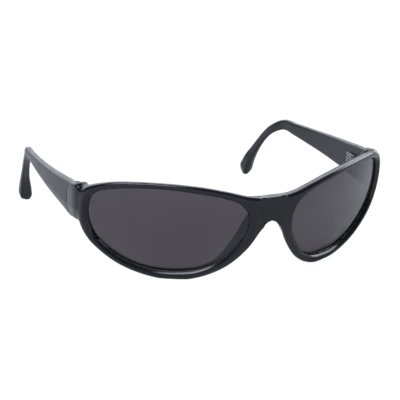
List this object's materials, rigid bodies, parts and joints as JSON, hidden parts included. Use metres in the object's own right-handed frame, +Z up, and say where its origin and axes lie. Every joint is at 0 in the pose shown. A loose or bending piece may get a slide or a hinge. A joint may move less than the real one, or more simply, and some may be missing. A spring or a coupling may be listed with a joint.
{
  "type": "safety glasses",
  "caption": "Wraparound safety glasses with a moulded front, smoke lenses and temples that fold inwards on barrel hinges.",
  "frame": {"origin": "on the surface that the open glasses rest on, under the middle of their bounding box", "axes": "+Z up; the lenses face -Y and the temples run back towards +Y; +X is the wearer's left"},
  "size_m": [0.1398, 0.1528, 0.0438],
  "materials": {
    "frame_black": "satin-gloss injection moulding",
    "temple_black": "satin-gloss injection moulding",
    "lens_smoke": "polished smoke tint",
    "hinge_steel": "bright stamped steel",
    "screw_steel": "bright turned steel"
  },
  "bodies": {
    "front": {"front_frame": "frame_black", "left_lens": "lens_smoke", "right_lens": "lens_smoke", "left_hinge_front_leaf": "hinge_steel", "left_hinge_front_screw_1": "screw_steel", "left_hinge_front_screw_2": "screw_steel", "left_hinge_pivot_screw": "screw_steel", "right_hinge_front_leaf": "hinge_steel", "right_hinge_front_screw_1": "screw_steel", "right_hinge_front_screw_2": "screw_steel", "right_hinge_pivot_screw": "screw_steel"},
    "left_temple": {"left_temple": "temple_black", "left_hinge_temple_leaf": "hinge_steel", "left_hinge_temple_screw_1": "screw_steel", "left_hinge_temple_screw_2": "screw_steel"},
    "right_temple": {"right_temple": "temple_black", "right_hinge_temple_leaf": "hinge_steel", "right_hinge_temple_screw_1": "screw_steel", "right_hinge_temple_screw_2": "screw_steel"}
  },
  "joints": [
    {"name": "left_temple_fold", "type": "hinge", "parent": "front", "child": "left_temple", "pos_m": [0.06305, -0.02192, 0.03021], "axis": [0, 0, 1], "range_deg": [0, 94]},
    {"name": "right_temple_fold", "type": "hinge", "parent": "front", "child": "right_temple", "pos_m": [-0.06305, -0.02192, 0.03021], "axis": [0, 0, -1], "range_deg": [0, 84]}
  ]
}
